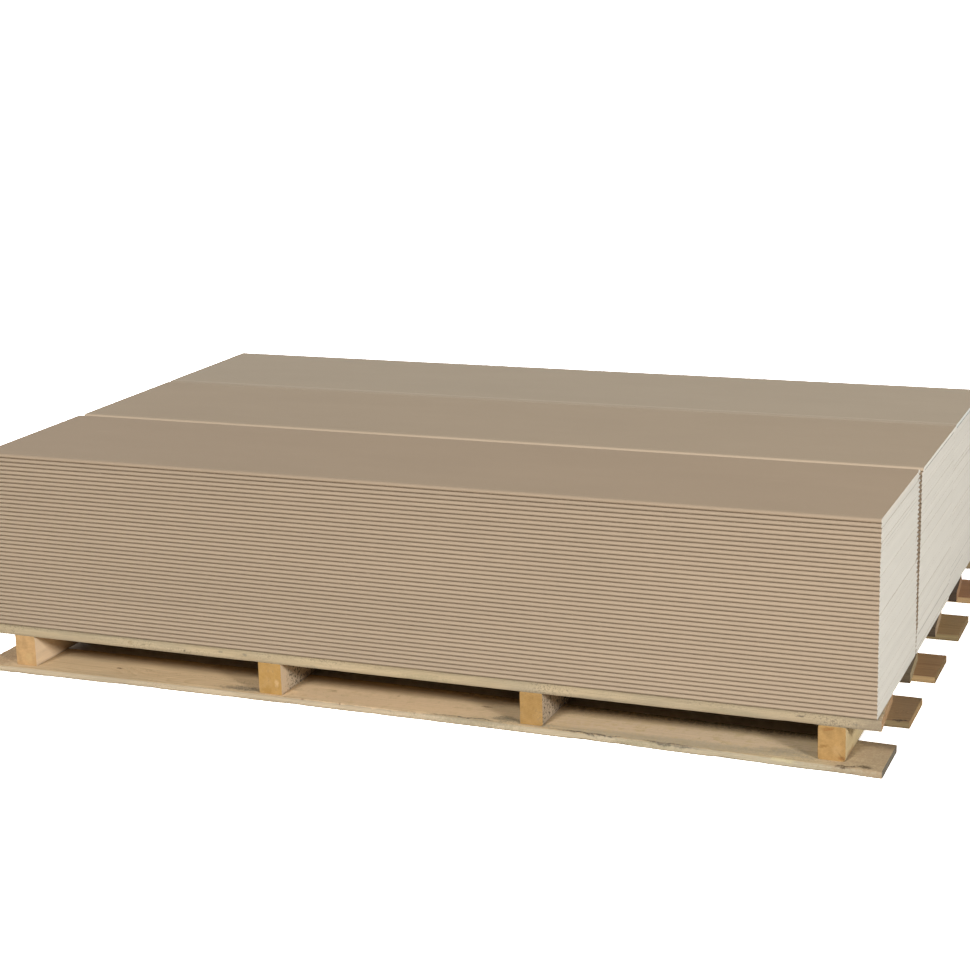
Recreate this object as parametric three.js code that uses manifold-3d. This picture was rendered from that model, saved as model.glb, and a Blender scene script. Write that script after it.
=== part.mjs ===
// A pallet load of plasterboard sheets: three stacks of long, narrow boards with
// rounded long edges, side by side on a two-way timber pallet.
// Millimetres, +Z up, +X along the sheets' length, -Y towards the front stack.
// The origin is on the ground, under the middle of the pallet.

import * as THREE from 'three';
import { mergeVertices } from 'three/addons/utils/BufferGeometryUtils.js';
import Module from 'manifold-3d';

// Plasterboard sheets
const sheetLength = 2000;
const sheetWidth = 400;
const sheetThickness = 9.5;
const sheetsPerStack = 42;
const edgeRoundDepth = 7.5; // how far the rounding of a long edge runs into the sheet
const edgeRoundSteps = 3; // a rounded edge has twice as many flats

// How the three stacks stand beside each other
const stackNames = ['front', 'middle', 'rear'];
const seamGapsAtDeck = [1, 1]; // front to middle and middle to rear, at the lowest sheets
const seamGapsAtTop = [9, 4]; // the stacks lean apart a little towards the top
const seamSlotDepth = 70; // how deep the seams are open at the ends of a layer
const seamGrooveDepth = 3; // how deep they are open at a layer's upper and lower faces

// How far the sheets lie out of line along their length
const stackSlips = [-0.6, 1.5, 0]; // whole stacks, front to rear
const topSheetSlips = [0, 2.5, 3]; // the top sheet of each stack, past its own stack
const sheetSlip = 0.2; // the largest slip of one sheet by itself
const slippedRuns = [
  { stack: 0, first: 33, last: 35, slip: 0.4 },
  { stack: 0, first: 36, last: 41, slip: 1.1 },
  { stack: 1, first: 0, last: 4, slip: -1.8 },
  { stack: 1, first: 5, last: 5, slip: -0.9 },
  { stack: 1, first: 20, last: 35, slip: 0.4 },
  { stack: 2, first: 0, last: 6, slip: -2 },
  { stack: 2, first: 24, last: 31, slip: 0.5 },
];

// Timber pallet: boards along X above and below, stringers along Y between them
const boardWidth = 145;
const leadBoardWidth = 170; // the front board of the deck is a wider one
const boardsPerFace = 5;
const deckBoardThickness = 22;
const bottomBoardThickness = 16;
const stringerCount = 4;
const stringerWidth = 52;
const stringerHeight = 70;
const stringerInset = 80; // from the ends of the bottom boards to the outer stringers
const sawnArris = 1.5; // bevel along the worn corners of the sawn timber
const deckOverLoad = 40; // how much longer the deck boards are than the sheets
const bottomOverDeck = 12; // how much longer the bottom boards are than the deck boards
const loadShift = 9; // the load lies this much nearer the boards' right ends
const rearLedge = 48; // how far the stringers reach past the rear stack
const bottomLeadOverhang = 21; // how far the front bottom board's ends stand out past the stringers
const bottomLeadCrook = 16; // how far the middle of that board is bent back from its ends
const crookSteps = 12; // straight pieces along the bent board

// Small misplacements of the nailed pieces
const deckBoardShifts = [-2, 0, -3, -1, 1]; // along X, boards front to rear
const deckBoardDrifts = [0, 5, 28, 12, 0]; // along Y
const deckBoardTurns = [0.03, -0.1, 0.12, 0.05, 0]; // degrees about Z
const bottomBoardShifts = [-0.5, 0, 2, 3.5, 1];
const bottomBoardDrifts = [0, -13, -14, -9, -3];
const bottomBoardTurns = [-0.22, 0.08, -0.05, 0.1, 0];
const stringerShifts = [0, 8, -5, 2]; // along X, stringers left to right
const stringerWidthChanges = [0, 2, -3, 2]; // from the width they should have

// Sizes and heights that follow from these
const stackCount = stackNames.length;
const loadWidth = stackCount * sheetWidth + seamGapsAtTop.reduce((sum, gap) => sum + gap, 0);
const stringerLength = loadWidth + rearLedge;
const deckBoardLength = sheetLength + deckOverLoad;
const bottomBoardLength = deckBoardLength + bottomOverDeck;
const stringerFront = (bottomLeadOverhang - stringerLength) / 2;
const deckBase = bottomBoardThickness + stringerHeight;
const loadBase = deckBase + deckBoardThickness;
const topLayer = sheetsPerStack - 1;

const board = new THREE.MeshStandardMaterial({ color: 0xa89578, roughness: 0.9, metalness: 0 });
const stringer = new THREE.MeshStandardMaterial({ color: 0xc39a63, roughness: 0.9, metalness: 0 });
const plasterboard = new THREE.MeshStandardMaterial({
  color: 0xa6947e,
  roughness: 0.85,
  metalness: 0,
});

const wasm = await Module();
wasm.setup();

const group = new THREE.Group();

function addMesh(name, geometry, material) {
  const mesh = new THREE.Mesh(geometry, material);
  mesh.name = name;
  group.add(mesh);
  return mesh;
}

// A closed geometry as a solid that can be joined to others
function toSolid(geometry) {
  geometry.deleteAttribute('normal');
  geometry.deleteAttribute('uv');
  const merged = mergeVertices(geometry);
  return new wasm.Manifold(
    new wasm.Mesh({
      numProp: 3,
      vertProperties: new Float32Array(merged.attributes.position.array),
      triVerts: new Uint32Array(merged.index.array),
    }),
  );
}

function toGeometry(solid) {
  const { vertProperties, triVerts } = solid.getMesh();
  const geometry = new THREE.BufferGeometry();
  geometry.setAttribute('position', new THREE.BufferAttribute(vertProperties, 3));
  geometry.setIndex(new THREE.BufferAttribute(triVerts, 1));
  geometry.computeVertexNormals();
  return geometry;
}

// Turns a section's own axes to Y and Z, and the way it is extruded to X
const sectionToX = new THREE.Matrix4().makeBasis(
  new THREE.Vector3(0, 1, 0),
  new THREE.Vector3(0, 0, 1),
  new THREE.Vector3(1, 0, 0),
);

function extrudeAlongX(section, start, end, steps = 1) {
  const geometry = new THREE.ExtrudeGeometry(section, {
    depth: end - start,
    steps,
    bevelEnabled: false,
    curveSegments: edgeRoundSteps,
  });
  return geometry.applyMatrix4(sectionToX).translate(start, 0, 0);
}

// Section of one sheet: flat faces and two rounded long edges
function sheetSection(front, bottom) {
  const halfThickness = sheetThickness / 2;
  const middle = bottom + halfThickness;
  const frontRound = front + edgeRoundDepth;
  const rearRound = front + sheetWidth - edgeRoundDepth;
  const down = -Math.PI / 2;
  const up = Math.PI / 2;
  const section = new THREE.Shape();
  section.moveTo(frontRound, bottom);
  section.lineTo(rearRound, bottom);
  section.absellipse(rearRound, middle, edgeRoundDepth, halfThickness, down, up);
  section.lineTo(frontRound, bottom + sheetThickness);
  section.absellipse(frontRound, middle, edgeRoundDepth, halfThickness, up, up + Math.PI);
  return section;
}

function sheetBottom(layer) {
  return loadBase + layer * sheetThickness;
}

// Where the front edge of a stack's sheet is: the seams widen from the deck to the top
function sheetFront(stack, layer) {
  let front = stringerFront;
  for (let seam = 0; seam < stack; seam += 1) {
    const share = layer / Math.max(topLayer, 1);
    front += sheetWidth + THREE.MathUtils.lerp(seamGapsAtDeck[seam], seamGapsAtTop[seam], share);
  }
  return front;
}

// Where its left end is: the place of its stack and its run, and its own small slip
function sheetStart(stack, layer) {
  const runs = slippedRuns.filter(
    (run) => run.stack === stack && layer >= run.first && layer <= run.last,
  );
  const runSlip = runs.reduce((sum, run) => sum + run.slip, 0);
  const ownSlip = sheetSlip * Math.sin(2.1 * layer * layer + 1.7 * stack);
  const topSlip = layer === topLayer ? topSheetSlips[stack] : 0;
  return loadShift + stackSlips[stack] + runSlip + ownSlip + topSlip - sheetLength / 2;
}

function sheetGeometry(stack, layer) {
  const start = sheetStart(stack, layer);
  const section = sheetSection(sheetFront(stack, layer), sheetBottom(layer));
  return extrudeAlongX(section, start, start + sheetLength);
}

// What is left under a seam once it is cut into the faces and the ends of a layer
function seamGeometry(stack, layer) {
  const starts = [sheetStart(stack, layer), sheetStart(stack + 1, layer)];
  const left = Math.max(...starts) + seamSlotDepth;
  const right = Math.min(...starts) + sheetLength - seamSlotDepth;
  const front = sheetFront(stack, layer) + sheetWidth - edgeRoundDepth;
  const rear = sheetFront(stack + 1, layer) + edgeRoundDepth;
  const bottom = sheetBottom(layer) + seamGrooveDepth;
  const top = sheetBottom(layer + 1) - seamGrooveDepth;
  const section = new THREE.Shape();
  section.moveTo(front, bottom);
  section.lineTo(rear, bottom);
  section.lineTo(rear, top);
  section.lineTo(front, top);
  return extrudeAlongX(section, left, right);
}

// One layer of the load: a sheet of each stack, with the seams cut into its faces and ends
function layerGeometry(layer) {
  let solid = toSolid(sheetGeometry(0, layer));
  for (let stack = 1; stack < stackCount; stack += 1) {
    solid = solid.add(toSolid(seamGeometry(stack - 1, layer)));
    solid = solid.add(toSolid(sheetGeometry(stack, layer)));
  }
  return toGeometry(solid);
}

for (let layer = 0; layer < topLayer; layer += 1) {
  const number = String(layer + 1).padStart(2, '0');
  addMesh(`sheet_layer_${number}`, layerGeometry(layer), plasterboard);
}

// The top sheet of each stack is a piece by itself
stackNames.forEach((name, stack) => {
  addMesh(`${name}_top_sheet`, sheetGeometry(stack, topLayer), plasterboard);
});

// Section of a sawn board or stringer, with its corners bevelled
function sawnSection(width, height) {
  const side = width / 2;
  const section = new THREE.Shape();
  section.moveTo(sawnArris - side, 0);
  section.lineTo(side - sawnArris, 0);
  section.lineTo(side, sawnArris);
  section.lineTo(side, height - sawnArris);
  section.lineTo(side - sawnArris, height);
  section.lineTo(sawnArris - side, height);
  section.lineTo(-side, height - sawnArris);
  section.lineTo(-side, sawnArris);
  return section;
}

function timberGeometry(length, width, height, steps) {
  return extrudeAlongX(sawnSection(width, height), -length / 2, length / 2, steps);
}

// The same with its middle bent towards +Y and its ends left where they are
function bentTimberGeometry(length, width, height, crook) {
  const geometry = timberGeometry(length, width, height, crookSteps);
  const places = geometry.attributes.position;
  for (let index = 0; index < places.count; index += 1) {
    const share = (2 * places.getX(index)) / length;
    places.setY(index, places.getY(index) + crook * (1 - share * share));
  }
  geometry.computeVertexNormals();
  return geometry;
}

function addTimber(name, geometry, material, position, turn) {
  const mesh = addMesh(name, geometry, material);
  mesh.position.set(...position);
  mesh.rotation.z = THREE.MathUtils.degToRad(turn);
}

const rearBoardCentre = stringerFront + stringerLength - boardWidth / 2;

function addBottomBoard(index) {
  const leadCentre = stringerFront - bottomLeadOverhang + boardWidth / 2;
  const share = index / (boardsPerFace - 1);
  const y = THREE.MathUtils.lerp(leadCentre, rearBoardCentre, share) + bottomBoardDrifts[index];
  const crook = index === 0 ? bottomLeadCrook : 0;
  const size = [bottomBoardLength, boardWidth, bottomBoardThickness];
  const geometry = crook > 0 ? bentTimberGeometry(...size, crook) : timberGeometry(...size);
  const position = [bottomBoardShifts[index], y, 0];
  addTimber(`bottom_board_${index + 1}`, geometry, board, position, bottomBoardTurns[index]);
}

function addDeckBoard(index) {
  const width = index === 0 ? leadBoardWidth : boardWidth;
  const share = index / (boardsPerFace - 1);
  const front = THREE.MathUtils.lerp(stringerFront, rearBoardCentre - boardWidth / 2, share);
  const y = front + width / 2 + deckBoardDrifts[index];
  const geometry = timberGeometry(deckBoardLength, width, deckBoardThickness);
  const position = [deckBoardShifts[index], y, deckBase];
  addTimber(`deck_board_${index + 1}`, geometry, board, position, deckBoardTurns[index]);
}

for (let index = 0; index < boardsPerFace; index += 1) {
  addBottomBoard(index);
  addDeckBoard(index);
}

// The stringers lie across the boards
const outerStringer = bottomBoardLength / 2 - stringerInset - stringerWidth / 2;
for (let index = 0; index < stringerCount; index += 1) {
  const share = index / (stringerCount - 1);
  const x = THREE.MathUtils.lerp(-outerStringer, outerStringer, share) + stringerShifts[index];
  const width = stringerWidth + stringerWidthChanges[index];
  const geometry = timberGeometry(stringerLength, width, stringerHeight);
  const position = [x, stringerFront + stringerLength / 2, bottomBoardThickness];
  addTimber(`stringer_${index + 1}`, geometry, stringer, position, 90);
}

export default group;
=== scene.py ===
import math
from itertools import product

import bpy
import numpy as np
from mathutils import Matrix, Vector


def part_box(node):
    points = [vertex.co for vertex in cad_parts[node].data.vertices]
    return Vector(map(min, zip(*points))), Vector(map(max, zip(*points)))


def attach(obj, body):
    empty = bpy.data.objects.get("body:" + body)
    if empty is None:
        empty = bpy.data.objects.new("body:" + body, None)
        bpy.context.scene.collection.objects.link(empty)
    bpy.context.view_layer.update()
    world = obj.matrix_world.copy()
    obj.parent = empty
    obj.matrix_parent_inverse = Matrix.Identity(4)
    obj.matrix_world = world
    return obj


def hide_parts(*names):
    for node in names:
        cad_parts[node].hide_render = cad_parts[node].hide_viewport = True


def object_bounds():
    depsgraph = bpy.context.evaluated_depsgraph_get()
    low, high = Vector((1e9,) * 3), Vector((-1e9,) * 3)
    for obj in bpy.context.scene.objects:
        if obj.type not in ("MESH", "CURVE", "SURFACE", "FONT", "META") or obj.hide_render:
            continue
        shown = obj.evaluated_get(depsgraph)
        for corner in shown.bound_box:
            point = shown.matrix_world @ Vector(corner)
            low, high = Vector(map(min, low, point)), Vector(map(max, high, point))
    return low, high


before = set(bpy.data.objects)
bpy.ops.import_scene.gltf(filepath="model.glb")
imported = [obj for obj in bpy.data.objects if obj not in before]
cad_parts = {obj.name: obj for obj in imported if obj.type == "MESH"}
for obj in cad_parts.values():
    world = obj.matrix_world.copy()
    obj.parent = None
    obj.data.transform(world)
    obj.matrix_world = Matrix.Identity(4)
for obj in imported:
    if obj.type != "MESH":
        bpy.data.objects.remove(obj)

# A pallet load of plasterboard sheets: 126 sheets in three stacks on a timber pallet.
# Metres, +Z up, +X along the sheets, -Y towards the front stack. Every piece takes its
# place and size from the CAD node that it stands for.

cad_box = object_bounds()

MM = 0.001
SMALL = 0.1 * MM  # points as near as this are in the same place

# The picture: a square of 970 x 971 pixels, and the camera that sees it
LONG_SIDE = 971
FOCAL_PIXELS = 2046.9
SENSOR_WIDTH = 36.0
CAMERA_PLACE = (1.72278, -4.28859, 1.53806)
CAMERA_TURN = (75.5495, 1.6137, 21.9337)  # degrees about X, Y and Z
CLIP_END = 200.0

# Light: one soft lamp from the front left, a near one from the front right, a low weak one
# from behind, and an even fill. Each lamp has its azimuth from the front (-Y) towards the
# right (+X), its elevation and how wide it looks from the pallet, all in degrees; how bright
# a white surface renders that faces it; and how far away it is, where it isn't a sun.
LAMPS = {
    "left_light": (-12, 36.6, 14, 0.75, None),
    "right_light": (56, 21.2, 10, 0.76, 12.0),
    "back_light": (238, 18, 30, 0.36, None),
}
SUN_PLACE = 5.0  # how far from the pallet a sun is put, which changes nothing
FILL_STRENGTH = 0.07
BACKDROP_STRENGTH = 1.06
FLOOR_SEEN = (4.0, 4.0, 4.0)  # the floor's colour where the camera sees it, which renders white
# Painted shade: the floor's colour under the pallet is much darker than where it renders white
FLOOR_SHADE_UNDER = (0.62, 0.55, 0.48)  # and under the pallet
FLOOR_BOUNCE = (0.52, 0.47, 0.41)  # and to the light that it sends up
FLOOR_SIZE = 80.0
# Along X and along Y: how far in from the pallet's sides the floor has its painted shade for
# under the pallet, and how far in it begins to change to that
FLOOR_EDGES = ((97 * MM, 78 * MM), (150 * MM, 30 * MM))

# Plasterboard sheets
SHEET_LAYERS = 41  # below the top sheets
STACKS = ("front", "middle", "rear")
SHEET_WIDTH = 400 * MM
EDGE_ROUND = 7.5 * MM  # how far the rounding of a long edge runs into the sheet
EDGE_STEPS = 10  # steps of a quarter of the rounding
FRONT_RIM = 7.5 * MM  # how far the first edge on the flat lies from the front rounding
REAR_RIM = 20.5 * MM  # and from the rear one
PAPER = 0.45 * MM  # thickness of the paper round the gypsum
PAPER_LAP = 15 * MM  # how far from a long edge the folded paper ends
LAP_FADE = 3.4 * MM  # how far the pale line there reaches to either side
EDGE_FACE = 2 * MM  # how far in the rounded edge has its own shade at full strength
CORE_RECESS = 0.06 * MM  # how far the cut gypsum lies behind the paper's cut edge
SHEET_STEPS = 40  # lengths that a sheet is divided into
SHARP_SHEET = math.radians(50)  # a sheet's mesh is shaded flat over a turn of more than this
EDGE_WANDER = 0.22 * MM  # how far a long edge strays from a straight line
WANDER_CELL = (160 * MM, 0.9, 1.0)  # along the sheet, from edge to edge, and from sheet to sheet
WANDER_SEED = 11
SHEET_APART = 0.37  # how far apart in the noise the sheets with seeds 1 apart are
SHEET_DRIFT = 0.3 * MM  # how far a whole sheet lies out of line across the stack
SHEET_SLIP = 0.12 * MM  # and how far along it
SLIP_SEED = 31
STACK_SEED = 100  # from one stack's seeds to the next stack's
TOP_SEED = 900  # of the first top sheet
TINT_SPREAD = 0.025  # how much darker or paler than usual a sheet can be
# Layers, and how deep the front stack's ends are worn at their rear corner in them
CORNER_LOSSES = ((4, 18, 28), (0.3 * MM, 2.2 * MM, 5.5 * MM))
LOSS_SPREAD = (0.6, 1.1)  # the least and the largest share of that for one sheet
# What sets each stack's sheets apart, and each stack's top sheet, as sheet_piece says
LAYER_LOOKS = ({"end": 1.0}, {"end": 1.035}, {"end": 1.035})
# The top sheets carry painted light: their paper turns paler and bluer from front to rear, a
# painted sheen; their cut ends are paler, partly a painted highlight along the top edge; the
# middle one's rounded edges are paler, a painted highlight, and the rear one's darker, painted
# shade, with a strong pale line at its folded paper's end as a painted highlight
TOP_LOOKS_AND_LIGHT = (
    {"tint": (0.975, 0.96, 0.94), "lap": 0.12, "edge": 0.0, "end": 1.06, "loss": 4 * MM},
    {"tint": (1.02, 1.035, 1.035), "lap": 0.15, "edge": 0.2, "end": 1.12},
    {"tint": (1.055, 1.12, 1.17), "lap": 1.0, "edge": -0.2, "end": 1.04},
)

# Timber
ARRIS = 1.0 * MM  # rounding of the sawn corners
ARRIS_STEPS = 2
ARRIS_REACH = 6 * MM  # how far from a corner the wood can be worn
ARRIS_WEAR = 1.4 * MM  # how deep it is worn where it is worn badly
SECTION_STEP = 5 * MM  # between points across a face
LENGTH_STEP = 9 * MM  # and along the piece
SHARP_TIMBER = math.radians(30)  # as SHARP_SHEET
SAWN_ROUGHNESS = 0.16 * MM  # how far the finer noise lifts or lowers a face
TIMBER_APART = 0.731  # how far apart in the noises the pieces with seeds 1 apart are
CORNER_LOSS = 12 * MM  # how far the deck boards' right ends are sawn out of square
CORNER_REACH = 60 * MM  # and how far from the end that begins
# Noises on the wood's surface, each with its cell along and across the piece in mm, its seed
# and its share of the depth
ROUGH_NOISES = ((11, 7, 21, 1.0), (140, 50, 22, 1.6))
WEAR_NOISES = ((60, 14, 23, 1.0), (17, 8, 24, 0.6))
WEAR_FLOOR = 0.1  # how strong the noise is where wear begins

# Where a piece's growth rings lie. Their middle, the pith, is outside the piece.
PITH_STRAY = 60 * MM  # how far along and across it may lie from the piece's middle
PITH_HEIGHT = (45 * MM, 95 * MM)  # and how far above or below it
RING_WIDTHS = (2.6 * MM, 4.2 * MM)
RING_BEND = 12 * MM  # how far the rings wander on the sides
END_BEND = 8 * MM  # and on the ends
RING_CONTRAST = 0.8  # how dark the late wood is on the sides
END_CONTRAST = 0.45  # and on the ends
KNOT_CELLS = 7.0  # in a metre across the piece, each with one knot
LONG_KNOT_CELLS = (2.2, 3.4)  # and in a metre along it
KNOT_SCATTER = 0.9  # of a cell
KNOT_LIFT = 12 * MM  # how far a knot lifts the rings round it
SPECKS = 260  # specks of mould in a metre
END_WEATHER = 0.4  # how grey and mouldy the ends are, next to the sides
TOP_FADE = (2.2 * MM, 1.0 * MM)  # how far below the top its tint begins and is full
MARK_WANDER = 14 * MM  # how far a mark's outline strays, from one side to the other
MARK_WANDER_CELLS = (38, 38, 38)  # in a metre

BOARDS = 5  # in each face of the pallet
STRINGERS = 4
# How many of each there are, the first one's seed, and the axis that they lie along
TIMBER_KINDS = {
    "deck_board": (BOARDS, 40, 0),
    "bottom_board": (BOARDS, 60, 0),
    "stringer": (STRINGERS, 80, 1),
}
NAILS_PER_CROSSING = 3
NAIL_SPREAD = 0.86  # the share of the board's width that they are spread over
NAIL_STRAY = (11 * MM, 5 * MM)  # how far a nail lies from its place along X and Y
NAIL_SEED = 5
NAIL_HEAD_RADIUS = 3.6 * MM
NAIL_HEAD_PROUD = 0.35 * MM  # how far a head stands out of the deck
# The head's outline: shares of its radius, and how far below its top
NAIL_HEAD_OUTLINE = ((0.72, 0.0), (1.0, 0.5 * MM), (1.0, 1.6 * MM), (0.4, 2.2 * MM))
NAIL_SIDES = 14


# Colours, linear
WHITE = (1, 1, 1)
PAPER_COLOUR = (0.376, 0.290, 0.205)
GYPSUM_COLOUR = (0.625, 0.600, 0.536)
STEEL_COLOUR = (0.36, 0.35, 0.34)
STEEL_RUST = (0.16, 0.07, 0.03)
WEATHERED = (0.33, 0.29, 0.21)
STAIN = (0.09, 0.08, 0.06)
KNOT = (0.11, 0.06, 0.03)
GREY_STAIN = (0.17, 0.16, 0.12)
GREEN_STAIN = (0.24, 0.22, 0.13)
DARK_STAIN = (0.06, 0.052, 0.042)
RUST_STAIN = (0.26, 0.11, 0.035)
RESIN = (0.62, 0.54, 0.30)


# ---- small tools


def lattice_noise(points, cell, seed):
    """Smooth noise from -1 to 1 at each point, with a random value at each corner of a cell."""
    side = 32  # cells until the noise repeats
    table = np.random.RandomState(seed).uniform(-1, 1, (side, side, side))
    scaled = points / np.asarray(cell)
    base = np.floor(scaled).astype(int)
    part = scaled - base
    part = part * part * (3 - 2 * part)
    total = np.zeros(len(points))
    for corner in product((0, 1), repeat=3):
        weight = np.prod(np.where(corner, part, 1 - part), axis=1)
        index = (base + corner) % side
        total += weight * table[index[:, 0], index[:, 1], index[:, 2]]
    return total


def summed_noise(points, noises):
    """Several lattice noises in one: the cell along and across the piece in mm, seed, share."""
    total = np.zeros(len(points))
    for along, across, seed, share in noises:
        total += share * lattice_noise(points, (along * MM, across * MM, across * MM), seed)
    return total


def node_points(name):
    """The points of a CAD node, in metres."""
    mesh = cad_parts[name].data
    points = np.empty(len(mesh.vertices) * 3)
    mesh.vertices.foreach_get("co", points)
    return points.reshape(-1, 3)


def tube_faces(count, rings, end_bands):
    """Faces between rings of count points each, and their slots: 1 in the first and the last
    end_bands bands of faces, and 0 in the others."""
    faces, slots = [], []
    bands = rings - 1
    for band in range(bands):
        here, after = band * count, (band + 1) * count
        for i in range(count):
            j = (i + 1) % count
            faces.append((here + i, here + j, after + j, after + i))
        slots += [0 if end_bands <= band < bands - end_bands else 1] * count
    return faces, slots


def make_piece(name, points, faces, face_slots, materials, smooth_slots=(0,)):
    """A mesh object from points and faces. Faces in smooth_slots are shaded smooth."""
    mesh = bpy.data.meshes.new(name)
    mesh.from_pydata([tuple(p) for p in points], [], faces)
    for material in materials:
        mesh.materials.append(material)
    mesh.polygons.foreach_set("material_index", face_slots)
    mesh.polygons.foreach_set("use_smooth", [slot in smooth_slots for slot in face_slots])
    mesh.update()
    piece = bpy.data.objects.new(name, mesh)
    bpy.context.scene.collection.objects.link(piece)
    return piece


def set_values(mesh, name, values):
    """Gives each point a number, or where values has three columns, a vector."""
    kind, key = ("FLOAT_VECTOR", "vector") if np.ndim(values) == 2 else ("FLOAT", "value")
    mesh.attributes.new(name, kind, "POINT").data.foreach_set(key, np.ravel(values))


# ---- materials


class Nodes:
    """The node tree of a material or a world, with short ways to add what it needs.

    Where a method takes a number or a colour, it takes another node's output too.
    """

    def __init__(self, owner):
        owner.use_nodes = True
        self.owner = owner
        self.tree = owner.node_tree
        self.tree.nodes.clear()

    def put(self, socket, value):
        """Links another node's output to the socket, or sets its value."""
        if isinstance(value, bpy.types.NodeSocket):
            self.tree.links.new(value, socket)
        elif socket.type == "RGBA":
            socket.default_value = (*value, 1.0)
        else:
            socket.default_value = value

    def add(self, kind, settings=None, **inputs):
        """A node with these settings and inputs, in whose names _ stands for a space."""
        node = self.tree.nodes.new(kind)
        for key, value in (settings or {}).items():
            setattr(node, key, value)
        for key, value in inputs.items():
            self.put(node.inputs[key.replace("_", " ")], value)
        return node

    def attribute(self, name, output="Fac"):
        """What set_values gave the points."""
        return self.add("ShaderNodeAttribute", {"attribute_name": name}).outputs[output]

    def vector(self, operation, *values):
        node = self.add("ShaderNodeVectorMath", {"operation": operation})
        for socket, value in zip(node.inputs, values):
            self.put(socket, value)
        return node.outputs["Value" if operation == "LENGTH" else "Vector"]

    def calc(self, operation, first, second=0.0, third=None, clamp=False):
        node = self.add("ShaderNodeMath", {"operation": operation, "use_clamp": clamp})
        self.put(node.inputs[0], first)
        self.put(node.inputs[1], second)
        if third is not None:
            self.put(node.inputs[2], third)
        return node.outputs[0]

    def place(self, stretch=(1, 1, 1), shift=(0, 0, 0), coordinates=None):
        """Coordinates in metres, the object's if none are given, moved by shift and then
        stretched."""
        if coordinates is None:
            coordinates = self.add("ShaderNodeTexCoord").outputs["Object"]
        return self.vector("MULTIPLY", self.vector("ADD", coordinates, shift), stretch)

    def bent_place(self, shift):
        """The object's coordinates, which wander by MARK_WANDER."""
        wander = self.noise(MARK_WANDER_CELLS, shift=shift, output="Color")
        reach, middle = (MARK_WANDER,) * 3, (-MARK_WANDER / 2,) * 3
        offset = self.vector("MULTIPLY_ADD", wander, reach, middle)
        return self.vector("ADD", offset, self.place())

    def axis(self, name):
        """The object's coordinate along an axis."""
        return self.add("ShaderNodeSeparateXYZ", Vector=self.place()).outputs[name]

    def noise(self, stretch, detail=2.0, roughness=0.5, shift=(0, 0, 0), output="Fac"):
        """Noise with stretch cells in a metre along X, Y and Z, and detail finer layers."""
        inputs = {"Vector": self.place(stretch, shift), "Scale": 1.0}
        node = self.add("ShaderNodeTexNoise", Detail=detail, Roughness=roughness, **inputs)
        return node.outputs[output]

    def span(self, value, low, high, to_low=0.0, to_high=1.0, smooth=True):
        """Maps low..high to to_low..to_high, held at both ends."""
        kind = "SMOOTHSTEP" if smooth else "LINEAR"
        ends = {"From_Min": low, "From_Max": high, "To_Min": to_low, "To_Max": to_high}
        node = self.add("ShaderNodeMapRange", {"interpolation_type": kind}, Value=value, **ends)
        return node.outputs["Result"]

    def vary(self, amount, noise, depth):
        """The amount, more or less by up to half the depth."""
        return self.calc("MULTIPLY_ADD", self.calc("SUBTRACT", noise, 0.5), depth, amount)

    def mix(self, factor, first, second):
        """The first colour, or as much of the second as the factor says."""
        node = self.add("ShaderNodeMix", {"data_type": "RGBA"})
        colour_inputs = (0, 6, 7)  # by number, because the node's inputs share their names
        for index, value in zip(colour_inputs, (factor, first, second)):
            self.put(node.inputs[index], value)
        return node.outputs[2]

    def shade(self, colour, amount):
        """The colour times a grey amount."""
        node = self.add("ShaderNodeVectorMath", {"operation": "SCALE"}, Scale=amount)
        self.put(node.inputs[0], colour)
        return node.outputs[0]

    def tint(self, colour, by):
        """The colour times another colour."""
        return self.vector("MULTIPLY", colour, by)

    def bump(self, height, distance, strength=1.0, below=None):
        node = self.add("ShaderNodeBump", Height=height, Distance=distance, Strength=strength)
        if below is not None:
            self.put(node.inputs["Normal"], below)
        return node.outputs["Normal"]

    def show(self, kind, shader):
        """Sends a shader to an output node of this kind."""
        self.add(kind, Surface=shader.outputs[0])

    def finish(self, colour, roughness, normal, specular, metallic=0.0):
        shader = self.add(
            "ShaderNodeBsdfPrincipled",
            Base_Color=colour,
            Metallic=metallic,
            Roughness=roughness,
            Normal=normal,
            Specular_IOR_Level=specular,
        )
        self.show("ShaderNodeOutputMaterial", shader)
        return self.owner


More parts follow.
